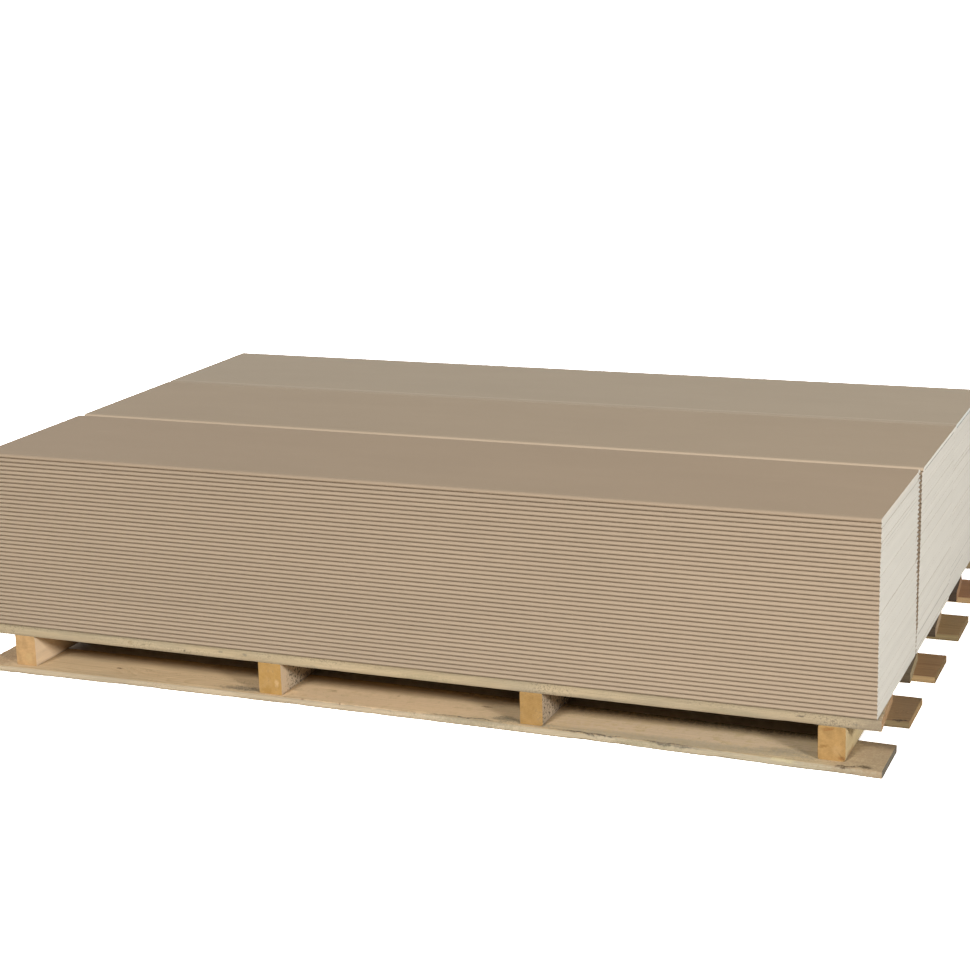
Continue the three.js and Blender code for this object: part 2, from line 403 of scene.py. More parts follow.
def paper_material():
    """Grey-brown liner paper: long fibres along the sheet, flecks, and a faint mottle."""
    n = Nodes(bpy.data.materials.new("liner_paper"))
    mottle = n.noise((3, 9, 9), 4, 0.6)
    fibres = n.noise((60, 900, 900), 3, 0.6)
    flecks = n.noise((500, 900, 900), 2, 0.7)
    scuffs = n.noise((4, 22, 22), 5, 0.75, (0.37, 0.11, 0))
    amount = n.vary(1.0, mottle, 0.10)
    amount = n.vary(amount, fibres, 0.16)
    amount = n.vary(amount, flecks, 0.14)
    amount = n.calc("MULTIPLY_ADD", n.span(scuffs, 0.62, 0.8), 0.07, amount)
    # The end of the folded paper is a thin pale line beside each long edge, strong on the rear
    # top sheet as a painted highlight,
    from_middle = n.calc("ABSOLUTE", n.attribute("across"))
    from_lap = n.calc("ABSOLUTE", n.calc("SUBTRACT", from_middle, SHEET_WIDTH / 2 - PAPER_LAP))
    line = n.span(from_lap, 0.0, LAP_FADE, 1.0, 0.0)
    worn = n.noise((2.5, 0, 0), 3, 0.6, (0.3, 0, 0))
    line = n.calc("MULTIPLY", line, n.span(worn, 0.3, 0.5))
    amount = n.calc("MULTIPLY_ADD", n.calc("MULTIPLY", line, n.attribute("lap")), 0.3, amount)
    # and the rounded edge has a shade of its own, paler on the middle top sheet as a painted
    # highlight and darker on the rear one as painted shade
    rounded = n.span(from_middle, SHEET_WIDTH / 2 - EDGE_ROUND, SHEET_WIDTH / 2 - EDGE_FACE)
    rounded = n.calc("MULTIPLY", rounded, n.attribute("edge"))
    amount = n.calc("MULTIPLY_ADD", rounded, amount, amount)
    # On the top sheets the tint is partly a painted sheen, paler and bluer towards the rear
    colour = n.tint(n.shade(PAPER_COLOUR, amount), n.attribute("tint", "Vector"))
    roughness = n.span(fibres, 0.3, 0.7, 0.72, 0.86)
    fine = n.bump(flecks, 0.12 * MM, 0.5)
    normal = n.bump(fibres, 0.15 * MM, 0.4, fine)
    return n.finish(colour, roughness, normal, specular=0.12)


# Painted shadow lines on the sheets' ends, where two sheets don't quite lie on each other:
# height, front and rear end and half of the thickness in mm, and how dark
END_SHADOW_LINES = (
    (498.2, -196, 160, 1.2, 0.6),
    (498.2, 205, 612, 1.2, 0.6),
    (450.0, -600, -200, 0.8, 0.35),
    (174.5, 205, 520, 0.9, 0.4),
    (155.5, 205, 380, 0.8, 0.3),
    (146.0, -196, 205, 0.8, 0.3),
)
LINE_FADE = 2 * MM  # over which a line begins, to either side of its end


def end_shadow_line(n, height, front, rear, half, depth):
    """A painted shadow line: 1 away from the line and less along it, broken up a little."""
    from_line = n.calc("ABSOLUTE", n.calc("SUBTRACT", n.axis("Z"), height * MM))
    line = n.span(from_line, half * MM, 2 * half * MM, 1.0, 0.0)
    broken = n.noise((0, 30, 0), 3, 0.6, (0, height, 0))
    front, rear = front * MM, rear * MM
    for share in (
        n.span(n.axis("Y"), front - LINE_FADE, front + LINE_FADE),
        n.span(n.axis("Y"), rear - LINE_FADE, rear + LINE_FADE, 1.0, 0.0),
        n.span(broken, 0.3, 0.6, 0.55, 1.0),
    ):
        line = n.calc("MULTIPLY", line, share)
    return n.calc("MULTIPLY_ADD", line, -depth, 1.0)


def gypsum_material():
    """Cut gypsum: chalky, with pores and the faint strokes of the cutter."""
    n = Nodes(bpy.data.materials.new("gypsum_core"))
    cloud = n.noise((40, 14, 60), 4, 0.6)
    grain = n.noise((900, 900, 900), 3, 0.7)
    strokes = n.noise((300, 500, 60), 2, 0.6)
    pores = n.noise((420, 420, 420), 1, 0.5, (3, 1, 2))
    pit = n.span(pores, 0.69, 0.76)
    amount = n.vary(1.0, cloud, 0.08)
    amount = n.vary(amount, grain, 0.08)
    amount = n.vary(amount, strokes, 0.06)
    amount = n.calc("MULTIPLY_ADD", pit, -0.12, amount)
    # Painted shadow lines under the sheets that overhang the ones below them
    for line in END_SHADOW_LINES:
        amount = n.calc("MULTIPLY", amount, end_shadow_line(n, *line))
    # On the top sheets the cut ends' tint is partly a painted highlight
    colour = n.tint(n.shade(GYPSUM_COLOUR, amount), n.attribute("tint", "Vector"))
    roughness = n.span(grain, 0.3, 0.7, 0.86, 0.98)
    rough = n.bump(grain, 0.2 * MM, 0.6)
    normal = n.bump(n.calc("SUBTRACT", strokes, pit), 0.25 * MM, 0.6, rough)
    return n.finish(colour, roughness, normal, specular=0.2)


def grain_noise(n, look, across, lengthwise, detail, roughness):
    """Noise that is drawn out along the piece, but not on its ends."""
    stretch = [across] * 3
    if not look["ends"]:
        stretch[look["along"]] = lengthwise
    return n.noise(stretch, detail, roughness, look["shift"])


def growth_rings(n, look):
    """How much of the late, dark wood there is, and how far the nearest knot is."""
    along, shift = look["along"], look["shift"]
    # The distance from the pith, bent a little along the piece
    across = [1.0, 1.0, 1.0]
    across[along] = 0.0
    radius = n.vector("LENGTH", n.place(across, shift))
    radius = n.vary(radius, grain_noise(n, look, 14, 2.2, 3, 0.55), look["bend"])
    knots = [KNOT_CELLS, KNOT_CELLS, 0.0]
    knots[along] = look["knots"]
    settings = {"voronoi_dimensions": "3D"}
    cells = n.add("ShaderNodeTexVoronoi", settings, Vector=n.place(knots, shift), Scale=1.0)
    n.put(cells.inputs["Randomness"], KNOT_SCATTER)
    knot = cells.outputs["Distance"]
    if not look["ends"]:
        # Each knot lifts the rings round it
        radius = n.calc("ADD", radius, n.span(knot, 0.0, 0.42, KNOT_LIFT, 0.0))
    # A ring darkens slowly and ends at once
    ring = n.calc("FRACT", n.calc("MULTIPLY", radius, 1.0 / look["ring"]))
    late = n.calc("POWER", ring, 2.6)
    return n.calc("MULTIPLY", late, n.span(ring, 0.86, 1.0, 1.0, 0.0)), knot


def weathered(n, look, colour, blotch, speck):
    """The colour with grey patches and specks of mould, which spread as they get stronger."""
    grey, mould = look["grey"], look["mould"]
    patch = grain_noise(n, look, 15, 3, 3, 0.6)
    share = n.span(patch, 0.5 - 0.25 * grey, 0.8 - 0.2 * grey, 0.0, grey)
    colour = n.mix(share, colour, WEATHERED)
    mould_place = n.span(blotch, 0.57 - 0.28 * mould, 0.82 - 0.28 * mould)
    share = n.calc("MULTIPLY", n.span(speck, 0.50, 0.62), mould_place)
    return n.mix(n.calc("MULTIPLY", share, mould, clamp=True), colour, STAIN)


def locally_tinted(n, look, colour):
    """The colour with what sets a board's upper face and its right half apart."""
    if "top_tint" in look:
        low, high = (look["top"] - depth for depth in TOP_FADE)
        colour = n.mix(n.span(n.axis("Z"), low, high), colour, n.tint(colour, look["top_tint"]))
    if "right_tint" in look:
        right = n.span(n.axis("X"), 0.0, 1.0, smooth=False)
        colour = n.mix(right, colour, n.tint(colour, look["right_tint"]))
    return colour


def marked(n, look, colour, speck):
    """The colour with the knots, cracks and stains that can be told apart, and the patches of
    painted shade and painted light.
    """
    ragged = n.noise((120, 120, 120), 4, 0.7, look["shift"])
    mottle = n.span(speck, 0.38, 0.56, 0.55, 1.0)
    bent = n.bent_place(look["shift"])
    for place, reach, strength, mark_colour in look["marks"]:
        # The distance from the mark's middle is 1 at its reach
        stretch = [1 / (MM * value) for value in reach]
        shift = [-MM * value for value in place]
        distance = n.vary(n.vector("LENGTH", n.place(stretch, shift, bent)), ragged, 1.6)
        share = n.calc("MULTIPLY", n.span(distance, 0.4, 1.15, strength, 0.0), mottle)
        colour = n.mix(share, colour, mark_colour)
    return colour


def timber_material(name, look):
    """Sawn softwood, as timber_look says."""
    n = Nodes(bpy.data.materials.new(name))
    ends = look["ends"]
    late, knot = growth_rings(n, look)
    fibre = grain_noise(n, look, 700, 24, 4, 0.65)
    streak = grain_noise(n, look, 170, 9, 3, 0.6)
    blotch = grain_noise(n, look, 60 if ends else 26, 5, 4, 0.6)
    speck = n.noise((look["speck"],) * 3, 3, 0.7, look["shift"])
    colour = n.mix(n.calc("MULTIPLY", late, look["contrast"]), look["early"], look["late"])
    if not ends:
        # A knot is dark, and so is the wood round it
        colour = n.mix(n.span(knot, 0.05, 0.2, 0.55, 0.0), colour, look["late"])
        colour = n.mix(n.span(knot, 0.035, 0.085, 0.85, 0.0), colour, KNOT)
    colour = weathered(n, look, colour, blotch, speck)
    amount = n.vary(1.0, fibre, 0.36)
    amount = n.vary(amount, streak, look["streaks"])
    amount = n.vary(amount, blotch, 0.75 if ends else 0.34)
    if not ends:
        # The sawn corners are darker
        corners = n.calc("MULTIPLY_ADD", n.attribute("arris"), -0.24, 1.0)
        amount = n.calc("MULTIPLY", amount, corners)
    colour = locally_tinted(n, look, n.shade(colour, amount))
    if look["marks"]:
        colour = marked(n, look, colour, speck)
    roughness = n.span(fibre, 0.3, 0.7, 0.72, 0.92)
    if ends:
        # Open end grain
        rough = n.bump(speck, 0.5 * MM, 0.7)
        normal = n.bump(late, 0.2 * MM, 0.15, rough)
    else:
        # Raised fibres, and saw marks across them
        rough = n.bump(fibre, 0.45 * MM, 0.6)
        normal = n.bump(grain_noise(n, look, 40, 260, 2, 0.5), 0.5 * MM, 0.45, rough)
    return n.finish(colour, roughness, normal, specular=0.04 if ends else 0.15)


def steel_material():
    """Bright steel that has begun to rust."""
    n = Nodes(bpy.data.materials.new("nail_steel"))
    cloud = n.noise((300, 300, 300), 4, 0.6)
    colour = n.mix(n.span(cloud, 0.42, 0.6), STEEL_COLOUR, STEEL_RUST)
    roughness = n.span(cloud, 0.35, 0.65, 0.35, 0.8)
    normal = n.bump(cloud, 0.1 * MM, 0.5)
    return n.finish(colour, roughness, normal, specular=0.5, metallic=0.8)


# ---- sheets


def sheet_section(low, high, inset=0.0):
    """Points (y, z) round a sheet between its low and high corners, as its paper wraps it."""
    front, rear = low[0] + inset, high[0] - inset
    middle, half = (low[1] + high[1]) / 2, (high[1] - low[1]) / 2 - inset
    depth = EDGE_ROUND - inset
    points = []
    for side, centre, rim in ((1, rear - depth, REAR_RIM), (-1, front + depth, FRONT_RIM)):
        points.append((centre - side * rim, middle - side * half))
        for step in range(-EDGE_STEPS, EDGE_STEPS + 1):
            turn = step / EDGE_STEPS * math.pi / 2
            out, up = depth * math.cos(turn), half * math.sin(turn)
            points.append((centre + side * out, middle + side * up))
        points.append((centre - side * rim, middle + side * half))
    return np.array(points)


def sheet_rings(low, high):
    """The rings of points from a sheet's left end to its right end: where the gypsum meets
    the paper, the paper's cut edge, the paper itself, and the same again."""
    outer = sheet_section(low[1:], high[1:])
    inner = sheet_section(low[1:], high[1:], PAPER)
    length = high[0] - low[0]
    rings = [(CORE_RECESS, inner), (0.0, inner)]
    rings += [(length * step / SHEET_STEPS, outer) for step in range(SHEET_STEPS + 1)]
    rings += [(length, inner), (length - CORE_RECESS, inner)]
    return [np.column_stack([np.full(len(ring), low[0] + along), ring]) for along, ring in rings]


def worn_corner(points, low, high, loss):
    """The points with the right end worn at its rear corner: nothing at half the thickness,
    most where the flats meet the rounding. The last point is a new one, for that end's face."""
    reach = EDGE_ROUND + REAR_RIM
    middle = (low[2] + high[2]) / 2
    behind = np.clip((points[:, 1] - high[1] + reach) / reach, 0, 1)
    outside = np.abs(points[:, 2] - middle) / (high[2] - middle)
    at_end = points[:, 0] > high[0] - 2 * CORE_RECESS
    points[:, 0] -= loss * behind * outside * at_end
    hub = (high[0] - CORE_RECESS, high[1] - reach, middle)
    return np.append(points, [hub], axis=0)


def sheet_faces(count, rings):
    """Faces and slots: the paper, the ends' rims, and the ends. The right end has triangles
    from its hub, the last point, to the rear rounding, and one face for the rest."""
    faces, slots = tube_faces(count, rings, 2)
    last, hub, rear = (rings - 1) * count, rings * count, count // 2 - 1
    faces.append(tuple(range(count - 1, -1, -1)))
    faces += [(hub, last + i, last + i + 1) for i in range(rear)]
    faces.append((*range(last + rear, last + count), last, hub))
    return faces, slots + [1] * (rear + 2)


def sheet_piece(
    name, low, high, seed, materials, tint=(1, 1, 1), lap=0.15, edge=0.0, end=1.0, loss=0.0
):
    """One sheet: the paper wrap with its rounded edges, its cut edges, and the gypsum ends.

    tint is the paper's, and on the top sheets partly a painted sheen, lap is how
    well the end of the folded paper shows, strong on the rear top sheet as a painted highlight,
    edge is how much paler the rounded edges are, paler on the middle top sheet as a painted
    highlight and darker on the rear one as painted shade, end is how pale the cut ends are,
    partly a painted highlight on the top sheets, and loss is how deep the right end is worn at
    its rear corner.
    """
    random = np.random.RandomState(seed)
    drift = random.uniform(-SHEET_DRIFT, SHEET_DRIFT)
    tint = np.array(tint) * (1 + random.uniform(-TINT_SPREAD, TINT_SPREAD))
    rings = sheet_rings(low, high)
    count = len(rings[0])
    points = worn_corner(np.concatenate(rings), low, high, loss)
    across = points[:, 1] - (low[1] + high[1]) / 2
    # Each long edge wanders by itself, and each sheet differently
    side = np.where(across > 0, 1.0, -1.0)
    line = np.column_stack([points[:, 0], side, np.full(len(points), seed * SHEET_APART)])
    points[:, 1] += drift + EDGE_WANDER * lattice_noise(line, WANDER_CELL, WANDER_SEED)
    piece = make_piece(name, points, *sheet_faces(count, len(rings)), materials)
    tints = np.tile(tint, (len(points), 1))
    tints[:count] *= end
    tints[-count - 1 :] *= end
    set_values(piece.data, "tint", tints)
    set_values(piece.data, "across", across)
    set_values(piece.data, "lap", np.full(len(points), lap))
    set_values(piece.data, "edge", np.full(len(points), edge))
    piece.data.set_sharp_from_angle(angle=SHARP_SHEET)
    return piece


def stack_boxes(node):
    """The low and high corners of the three sheets in a layer, front to rear."""
    points = node_points(node)
    y = points[:, 1]
    in_front = y <= y.min() + SHEET_WIDTH + SMALL
    in_rear = y >= y.max() - SHEET_WIDTH - SMALL
    bands = (in_front, ~in_front & ~in_rear, in_rear)
    return [(points[band].min(0), points[band].max(0)) for band in bands]


def add_sheet(node, stack, layer, low, high, seed, materials, look):
    """One sheet of a stack, which stands for the node or a third of it."""
    name = f"{stack}_sheet_{layer:02d}"
    piece = sheet_piece(name, low, high, seed, materials, **look)
    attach(piece, "root")
    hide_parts(node)


def add_sheets():
    """The sheets of all layers, each slipped by a hair's breadth, and the three top sheets."""
    random = np.random.RandomState(SLIP_SEED)
    materials = [paper_material(), gypsum_material()]
    for layer in range(1, SHEET_LAYERS + 1):
        node = f"sheet_layer_{layer:02d}"
        for index, (stack, box) in enumerate(zip(STACKS, stack_boxes(node))):
            slip = random.uniform(-SHEET_SLIP, SHEET_SLIP)
            low, high = (corner + (slip, 0, 0) for corner in box)
            loss = np.interp(layer, *CORNER_LOSSES) * random.uniform(*LOSS_SPREAD)
            look = dict(LAYER_LOOKS[index], loss=loss if index == 0 else 0.0)
            seed = STACK_SEED * index + layer
            add_sheet(node, stack, layer, low, high, seed, materials, look)
    for index, stack in enumerate(STACKS):
        node = f"{stack}_top_sheet"
        low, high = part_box(node)
        seed = TOP_SEED + index
        add_sheet(node, stack, SHEET_LAYERS + 1, low, high, seed, materials, TOP_LOOKS_AND_LIGHT[index])


# ---- timber


def timber_frame(node):
    """A node's centre, the turn of its long axis about Z, its length, width and height, and
    the parabola that its middle line follows."""
    points = node_points(node)
    middle = points[:, :2].mean(0)
    low, high = points[:, 2].min(), points[:, 2].max()
    flat = points[:, :2] - middle
    axis = np.linalg.svd(flat, full_matrices=False)[2][0]
    if axis[np.argmax(np.abs(axis))] < 0:
        axis = -axis
    along = flat @ axis
    across = flat @ np.array([-axis[1], axis[0]])
    bent = len(np.unique(along.round(4))) > 4  # a straight piece has points at its ends only
    line = np.polyfit(along, across, 2) if bent else np.zeros(3)
    size = (np.ptp(along), np.ptp(across - np.polyval(line, along)), high - low)
    return np.array([*middle, (low + high) / 2]), math.atan2(axis[1], axis[0]), size, line


def timber_section(width, height):
    """Points and outward directions round a sawn piece, and how near each is to a corner."""
    half = np.array([width, height]) / 2
    points, outward, near_corner = [], [], []
    corners = ((1, -1), (1, 1), (-1, 1), (-1, -1))
    for index, sign in enumerate(corners):
        centre = np.array(sign) * (half - ARRIS)
        for step in range(ARRIS_STEPS + 1):
            turn = (index - 1 + step / ARRIS_STEPS) * math.pi / 2
            way = np.array([math.cos(turn), math.sin(turn)])
            points.append(centre + ARRIS * way)
            outward.append(way)
            near_corner.append(1.0)
        to_next = np.array(corners[(index + 1) % 4]) * (half - ARRIS) - centre
        length = np.linalg.norm(to_next)
        steps = max(2, round(length / SECTION_STEP))
        for step in range(1, steps):
            part = step / steps
            points.append(centre + to_next * part + ARRIS * way)
            outward.append(way)
            near_corner.append(max(0.0, 1.0 - min(part, 1 - part) * length / ARRIS_REACH))
    return np.array(points), np.array(outward), np.array(near_corner)


def sawn_surface(points, near_corner, length, seed, wear_share):
    """How far outward each point lies: rough faces, worn corners and bevelled ends."""
    places = points + seed * TIMBER_APART
    rough = SAWN_ROUGHNESS * summed_noise(places, ROUGH_NOISES)
    wear = np.clip(summed_noise(places, WEAR_NOISES) - WEAR_FLOOR, 0, None)
    offset = rough * (1 - near_corner) - wear * ARRIS_WEAR * near_corner * wear_share
    offset[np.abs(points[:, 0]) > length / 2 - SMALL] -= ARRIS / 2
    return offset


def timber_piece(name, node, seed, materials):
    """A sawn board or stringer, with its ends closed round a point in their middle."""
    centre, turn, (length, width, height), line = timber_frame(node)
    section, outward, near_corner = timber_section(width, height)
    count = len(section)
    steps = round(length / LENGTH_STEP)
    half = length / 2
    inner = [length * step / steps - half for step in range(1, steps)]
    stations = [-half, ARRIS / 2 - half, *inner, half - ARRIS / 2, half]
    points = np.concatenate([np.column_stack([np.full(count, x), section]) for x in stations])
    ways = np.tile(np.column_stack([np.zeros(count), outward]), (len(stations), 1))
    near_corner = np.tile(near_corner, len(stations))
    wear_share = TIMBERS[node].get("wear", 1.0)
    offset = sawn_surface(points, near_corner, length, seed, wear_share)
    points = points + ways * offset[:, None]
    if "deck" in node:
        # The right end is sawn out of square, and so is shorter at the rear
        rear = np.clip(points[:, 1] / width + 0.5, 0, 1)
        right = np.clip(1 - (half - points[:, 0]) / CORNER_REACH, 0, 1)
        points[:, 0] -= CORNER_LOSS * rear * right
    points[:, 1] += np.polyval(line, points[:, 0])
    points = points @ np.array(Matrix.Rotation(turn, 3, "Z")).T + centre
    points[:, 2] = np.maximum(points[:, 2], 0.0)  # nothing reaches below the ground
    faces, slots = tube_faces(count, len(stations), 1)
    left_hub, right_hub, last = len(points), len(points) + 1, len(points) - count
    for i in range(count):
        j = (i + 1) % count
        faces += [(left_hub, j, i), (right_hub, last + i, last + j)]
    slots += [1] * (2 * count)
    points = np.concatenate([points, [points[:count].mean(0), points[-count:].mean(0)]])
    piece = make_piece(name, points, faces, slots, materials)
    set_values(piece.data, "arris", np.append(near_corner == 1, (False, False)).astype(float))
    piece.data.set_sharp_from_angle(angle=SHARP_TIMBER)
    return piece


# Each piece of wood: the colours of its early and its late wood on the sides and on the ends,
# how grey, mouldy and streaked it is, and what else sets it apart
TIMBERS = {
    "deck_board_1": {
        "sides": ((0.495, 0.39, 0.243), (0.365, 0.273, 0.156)),
        "ends": ((0.33, 0.20, 0.10), (0.22, 0.125, 0.058)),
        "grey": 0.45, "mould": 0.6, "streaks": 0.6,
        "right_tint": (0.83, 0.84, 0.87),
    },
    # Deck boards 2 to 4 have dark sides: painted shade for where they lie under the sheets
    "deck_board_2": {
        "sides": ((0.15, 0.115, 0.075), (0.10, 0.075, 0.045)),
        "ends": ((0.25, 0.19, 0.105), (0.15, 0.11, 0.055)),
        "grey": 0.15, "mould": 0.4, "streaks": 0.4,
    },
    "deck_board_3": {
        "sides": ((0.12, 0.09, 0.06), (0.08, 0.058, 0.036)),
        "ends": ((0.33, 0.235, 0.145), (0.22, 0.15, 0.085)),
        "grey": 0.1, "mould": 0.3, "streaks": 0.4,
    },
    "deck_board_4": {
        "sides": ((0.09, 0.064, 0.044), (0.06, 0.042, 0.027)),
        "ends": ((0.29, 0.165, 0.085), (0.19, 0.10, 0.05)),
        "grey": 0.1, "mould": 0.3, "streaks": 0.4,
    },
    "deck_board_5": {
        "sides": ((0.42, 0.33, 0.205), (0.29, 0.21, 0.12)),
        "ends": ((0.30, 0.22, 0.13), (0.2, 0.14, 0.075)),
        "grey": 0.6, "mould": 0.5, "streaks": 0.5,
    },
    "bottom_board_1": {
        "sides": ((0.53, 0.43, 0.293), (0.425, 0.326, 0.212)),
        "ends": ((0.14, 0.12, 0.09), (0.075, 0.062, 0.045)),
        "grey": 0.3, "mould": 0.4, "streaks": 0.5, "wear": 3.2,
        "top_tint": (1.12, 1.01, 0.865), "right_tint": (0.88, 0.94, 0.96),
    },
    "bottom_board_2": {
        "sides": ((0.36, 0.27, 0.145), (0.25, 0.175, 0.085)),
        "ends": ((0.33, 0.215, 0.105), (0.22, 0.13, 0.06)),
        "grey": 0.2, "mould": 0.4, "streaks": 0.5,
        "top_tint": (1.06, 0.92, 0.93),
    },
    "bottom_board_3": {
        "sides": ((0.62, 0.43, 0.22), (0.46, 0.29, 0.14)),
        "ends": ((0.22, 0.145, 0.07), (0.14, 0.085, 0.04)),
        "grey": 0.1, "mould": 0.25, "streaks": 0.4,
        "top_tint": (0.66, 0.58, 0.575),
    },
    "bottom_board_4": {
        "sides": ((0.38, 0.29, 0.15), (0.27, 0.19, 0.09)),
        "ends": ((0.24, 0.165, 0.085), (0.16, 0.105, 0.05)),
        "grey": 0.15, "mould": 0.35, "streaks": 0.4,
        "top_tint": (1.08, 0.94, 0.91),
    },
    "bottom_board_5": {
        "sides": ((0.62, 0.42, 0.22), (0.46, 0.29, 0.145)),
        "ends": ((0.28, 0.20, 0.11), (0.19, 0.13, 0.06)),
        "grey": 0.1, "mould": 0.3, "streaks": 0.4,
        "top_tint": (0.66, 0.54, 0.56),
    },
    "stringer_1": {
        "sides": ((0.77, 0.59, 0.39), (0.60, 0.425, 0.26)),
        "ends": ((0.51, 0.32, 0.15), (0.40, 0.23, 0.088)),
        "grey": 0.05, "mould": 0.1, "streaks": 0.25,
    },
    "stringer_2": {
        "sides": ((0.52, 0.41, 0.285), (0.38, 0.28, 0.18)),
        "ends": ((0.45, 0.268, 0.09), (0.345, 0.192, 0.056)),
        "grey": 0.35, "mould": 1.1, "streaks": 0.3, "speck": 170,
    },
    "stringer_3": {
        "sides": ((0.45, 0.35, 0.245), (0.32, 0.235, 0.155)),
        "ends": ((0.39, 0.235, 0.086), (0.31, 0.176, 0.056)),
        "grey": 0.35, "mould": 1.25, "streaks": 0.3, "speck": 170,
    },
    "stringer_4": {
        "sides": ((0.55, 0.435, 0.245), (0.415, 0.315, 0.16)),
        "ends": ((0.395, 0.24, 0.093), (0.31, 0.175, 0.056)),
        "grey": 0.1, "mould": 0.2, "streaks": 0.3,
    },
}

# Knots, cracks and stains that can be told apart, and a few patches of painted shade and
# painted light, on the pieces' sides and on their ends, each with its middle and its reach
# along X, Y and Z in mm, its strength and its colour
SIDE_MARKS = {
    "deck_board_1": (
        ((-640, -620, 99), (8, 6, 7), 0.5, (0.27, 0.19, 0.10)),
        ((-505, -620, 92), (4, 4, 3), 0.6, DARK_STAIN),
        ((-415, -620, 99), (8, 4, 3), 0.5, GREY_STAIN),
        ((-356, -620, 101), (7, 4, 3), 0.6, GREY_STAIN),
        ((-195, -620, 88), (22, 5, 4), 0.5, GREY_STAIN),
        ((67, -620, 91), (70, 5, 9), 0.35, GREEN_STAIN),
        ((451, -620, 89), (70, 5, 5), 0.35, GREY_STAIN),
        ((715, -620, 92), (80, 5, 5), 0.3, GREEN_STAIN),
        ((1050, -610, 97), (110, 30, 34), 0.85, (0.26, 0.205, 0.14)),
        ((864, -620, 99), (12, 5, 2), 0.7, DARK_STAIN),
        ((955, -620, 85), (9, 5, 2.4), 0.7, DARK_STAIN),
        ((967, -620, 97), (6, 5, 3), 0.5, GREY_STAIN),
        # Painted light on the top at the right end, where the sheets shade it
        ((1018, -530, 107), (14, 95, 5), 0.85, (0.60, 0.42, 0.25)),
    ),
    "bottom_board_1": (
        # Painted shadow of the deck on the rear of the board's top
        ((900, -476, 16), (750, 50, 14), 0.8, (0.11, 0.088, 0.065)),
        ((-60, -585, 16), (380, 70, 3), 0.6, (0.66, 0.475, 0.295)),
        ((620, -580, 16), (330, 60, 3), 0.6, (0.61, 0.465, 0.325)),
        ((-707, -573, 16), (9, 6, 9), 0.75, KNOT),
        ((-372, -606, 16), (62, 15, 9), 0.85, (0.15, 0.125, 0.085)),
        ((-285, -592, 16), (45, 30, 3), 0.55, (0.74, 0.52, 0.29)),
        # Painted shade of stringer 1 on the board's left end
        ((-1005, -585, 16), (60, 80, 4), 0.85, (0.335, 0.22, 0.12)),
        ((-176, -561, 16), (8, 5, 9), 0.6, KNOT),
        ((-133, -625, 15), (3, 4, 3), 0.6, KNOT),
        ((-221, -627, 16), (4, 4, 3), 0.6, KNOT),
        ((-29, -547, 16), (5, 4, 9), 0.5, KNOT),
        ((-15, -624, 12), (6, 7, 4), 0.35, GREY_STAIN),
        ((-637, -637, 8), (12, 6, 5), 0.4, (0.42, 0.23, 0.16)),
        ((176, -551, 16), (16, 4, 9), 0.7, KNOT),
        ((620, -616, 16), (340, 22, 9), 0.6, (0.33, 0.29, 0.205)),
        ((165, -629, 11), (125, 12, 12), 0.55, (0.25, 0.22, 0.145)),
        ((165, -620, 16), (100, 3, 4), 0.9, (0.11, 0.10, 0.07)),
        ((40, -630, 14), (12, 6, 5), 0.8, (0.16, 0.145, 0.09)),
        ((90, -630, 11), (25, 6, 8), 0.6, (0.20, 0.18, 0.11)),
        ((240, -602, 16), (34, 15, 5), 0.85, (0.13, 0.115, 0.075)),
        ((430, -627, 16), (80, 4, 5), 0.9, DARK_STAIN),
        ((300, -612, 16), (60, 14, 9), 0.5, (0.21, 0.19, 0.135)),
        ((600, -631, 14), (70, 5, 5), 0.7, DARK_STAIN),
        ((540, -634, 8), (90, 6, 7), 0.45, GREEN_STAIN),
        ((840, -596, 16), (70, 20, 9), 0.5, (0.25, 0.22, 0.155)),
        ((827, -638, 11), (30, 6, 5), 0.45, RESIN),
        ((1050, -580, 10), (170, 170, 22), 0.8, (0.34, 0.24, 0.145)),
        ((1000, -515, 16), (110, 12, 9), 0.5, (0.26, 0.19, 0.12)),
        ((957, -638, 15), (24, 6, 6), 0.95, (0.075, 0.052, 0.032)),
        ((988, -634, 15), (18, 9, 6), 0.95, (0.085, 0.06, 0.032)),
    ),
    "bottom_board_2": (
        ((1004, -365, 16), (20, 4, 4), 0.9, DARK_STAIN),
        ((1020, -230, 14), (9, 9, 9), 0.6, (0.12, 0.12, 0.085)),
    ),
    "stringer_2": (((-272, -612, 50), (9, 32, 60), 0.95, (0.60, 0.455, 0.30)),),
    "stringer_4": (
        ((949, -592, 80), (9, 12, 6), 0.7, GREY_STAIN),
        ((949, -570, 20), (9, 40, 9), 0.5, RUST_STAIN),
    ),
}
END_MARKS = {
    "deck_board_4": (((1018, 352, 97), (20, 13, 12), 0.85, KNOT),),
    "stringer_1": (
        ((-912, -620, 34), (10, 9, 12), 0.45, (0.62, 0.43, 0.20)),
        ((-938, -620, 66), (8, 9, 10), 0.4, (0.36, 0.21, 0.08)),
    ),
    "stringer_2": (
        ((-305, -620, 26), (18, 9, 8), 0.5, (0.34, 0.19, 0.05)),
        ((-283, -620, 42), (6, 9, 10), 0.5, (0.72, 0.50, 0.27)),
        ((-300, -620, 60), (12, 9, 7), 0.35, (0.36, 0.20, 0.06)),
    ),
    "stringer_3": (((292, -620, 42), (9, 9, 18), 0.3, (0.36, 0.22, 0.08)),),
    "stringer_4": (
        ((915, -620, 79), (11, 9, 4), 0.65, RUST_STAIN),
        ((943, -620, 21), (8, 9, 4), 0.6, RUST_STAIN),
        ((905, -620, 44), (14, 9, 5), 0.6, (0.24, 0.13, 0.04)),
        ((932, -620, 38), (13, 9, 13), 0.45, (0.50, 0.32, 0.145)),
    ),
}


